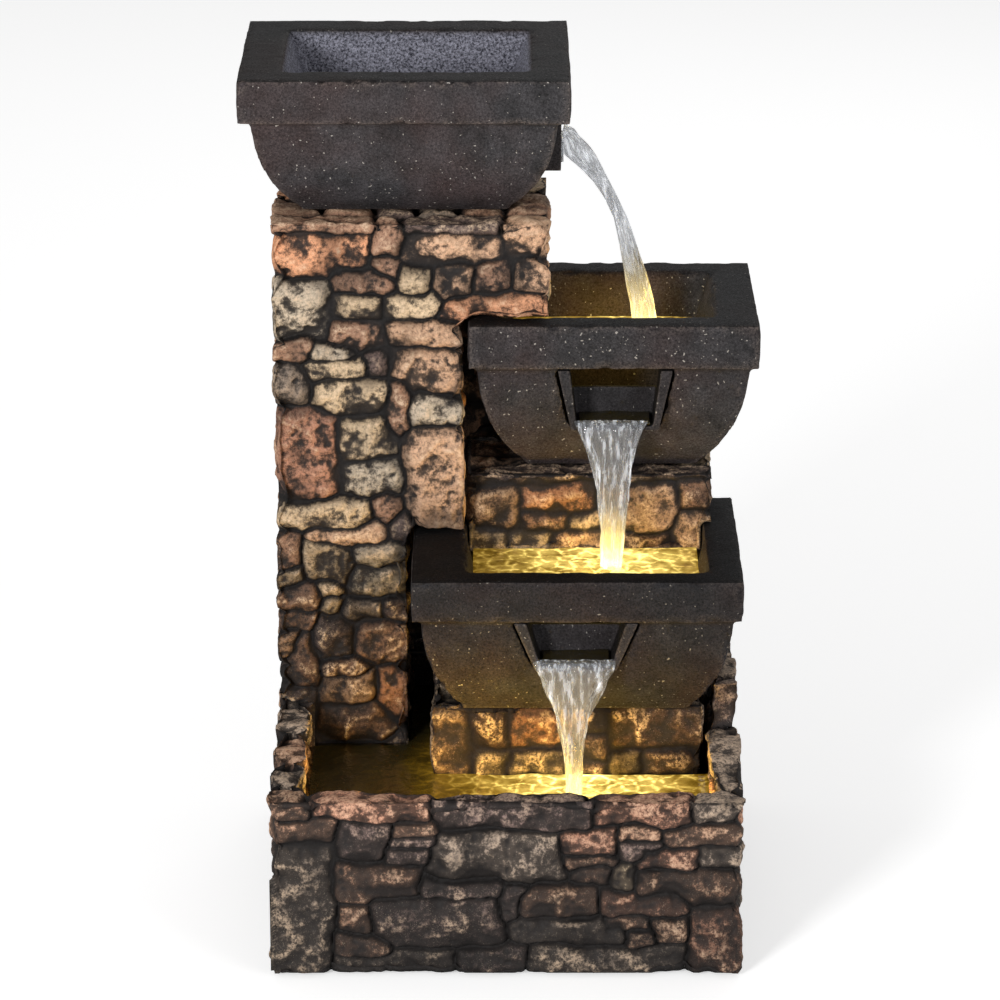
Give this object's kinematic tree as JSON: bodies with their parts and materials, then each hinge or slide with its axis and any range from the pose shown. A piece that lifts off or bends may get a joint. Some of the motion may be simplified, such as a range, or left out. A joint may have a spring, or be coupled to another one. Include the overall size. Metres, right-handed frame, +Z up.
{
  "type": "tabletop water fountain",
  "caption": "Lit tabletop water fountain: a stacked-stone basin and stepped pillar carry square slate bowls, each with a spout that pours into the bowl below.",
  "frame": {"origin": "middle of the footprint's bounding box, on the table", "axes": "+Z up, -Y towards the front that the two lower spouts face, +X to the right, the pillar on the -X side"},
  "size_m": [0.2399, 0.237, 0.3905],
  "materials": {
    "basin_stone": "matte",
    "pillar_stone": "matte",
    "block_stone": "matte",
    "bowl_slate": "matte",
    "spout_slate": "matte",
    "panel_resin": "matte",
    "foot_rubber": "matte",
    "gland_rubber": "matte",
    "lead_jacket": "satin",
    "pump_plastic": "satin",
    "cover_plastic": "satin",
    "dial_plastic": "satin",
    "rotor_plastic": "satin",
    "ceramic_shaft": "polished",
    "bush_rubber": "matte",
    "seal_rubber": "matte",
    "coil_resin": "satin",
    "cup_rubber": "satin",
    "hose_vinyl": "satin",
    "clip_steel": "satin",
    "fitting_plastic": "satin",
    "lamp_plastic": "satin",
    "lamp_board": "satin",
    "lamp_lens": "gloss",
    "splice_resin": "matte"
  },
  "bodies": {
    "fountain": {"base_basin": "basin_stone", "stone_pillar": "pillar_stone", "lower_bowl_support": "block_stone", "middle_bowl_support": "block_stone", "lower_bowl": "bowl_slate", "middle_bowl": "bowl_slate", "upper_bowl": "bowl_slate", "lower_spout": "spout_slate", "middle_spout": "spout_slate", "upper_spout": "spout_slate", "foot_pad_front_left": "foot_rubber", "foot_pad_front_right": "foot_rubber", "foot_pad_back_left": "foot_rubber", "foot_pad_back_right": "foot_rubber", "pump_housing": "pump_plastic", "pump_coil": "coil_resin", "pump_seal": "seal_rubber", "pump_volute_cover": "cover_plastic", "pump_bush_front": "bush_rubber", "pump_bush_rear": "bush_rubber", "pump_shaft": "ceramic_shaft", "suction_cup_front_left": "cup_rubber", "suction_cup_front_right": "cup_rubber", "suction_cup_back_left": "cup_rubber", "suction_cup_back_right": "cup_rubber", "riser_hose": "hose_vinyl", "hose_clamp_lower": "clip_steel", "hose_clamp_upper": "clip_steel", "inlet_fitting": "fitting_plastic", "inlet_nut": "fitting_plastic", "inlet_washer": "seal_rubber", "lead_splice": "splice_resin", "base_light_lead": "lead_jacket", "lower_light_lead": "lead_jacket", "middle_light_lead": "lead_jacket", "pump_lead": "lead_jacket", "cord_tail": "lead_jacket", "cord_gland": "gland_rubber", "base_light_housing": "lamp_plastic", "base_light_board": "lamp_board", "base_light_lens": "lamp_lens", "lower_light_housing": "lamp_plastic", "lower_light_board": "lamp_board", "lower_light_lens": "lamp_lens", "middle_light_housing": "lamp_plastic", "middle_light_board": "lamp_board", "middle_light_lens": "lamp_lens"},
    "access_panel": {"rear_access_panel": "panel_resin", "panel_clip_left": "clip_steel", "panel_clip_right": "clip_steel"},
    "flow_dial": {"pump_flow_dial": "dial_plastic"},
    "impeller": {"pump_impeller": "rotor_plastic"},
    "strainer": {"pump_strainer": "cover_plastic"}
  },
  "joints": [
    {"name": "panel_pull", "type": "slide", "parent": "fountain", "child": "access_panel", "axis": [0, 1, 0], "range_m": [0, 0.04]},
    {"name": "dial_turn", "type": "hinge", "parent": "fountain", "child": "flow_dial", "pos_m": [-0.065, 0.062, 0.052], "axis": [0, 0, 1], "range_deg": [0, 90]},
    {"name": "impeller_spin", "type": "hinge", "parent": "fountain", "child": "impeller", "pos_m": [-0.076, 0.05, 0.033], "axis": [0, 1, 0], "continuous": true},
    {"name": "strainer_pull", "type": "slide", "parent": "fountain", "child": "strainer", "axis": [0, -1, 0], "range_m": [0, 0.007]}
  ]
}
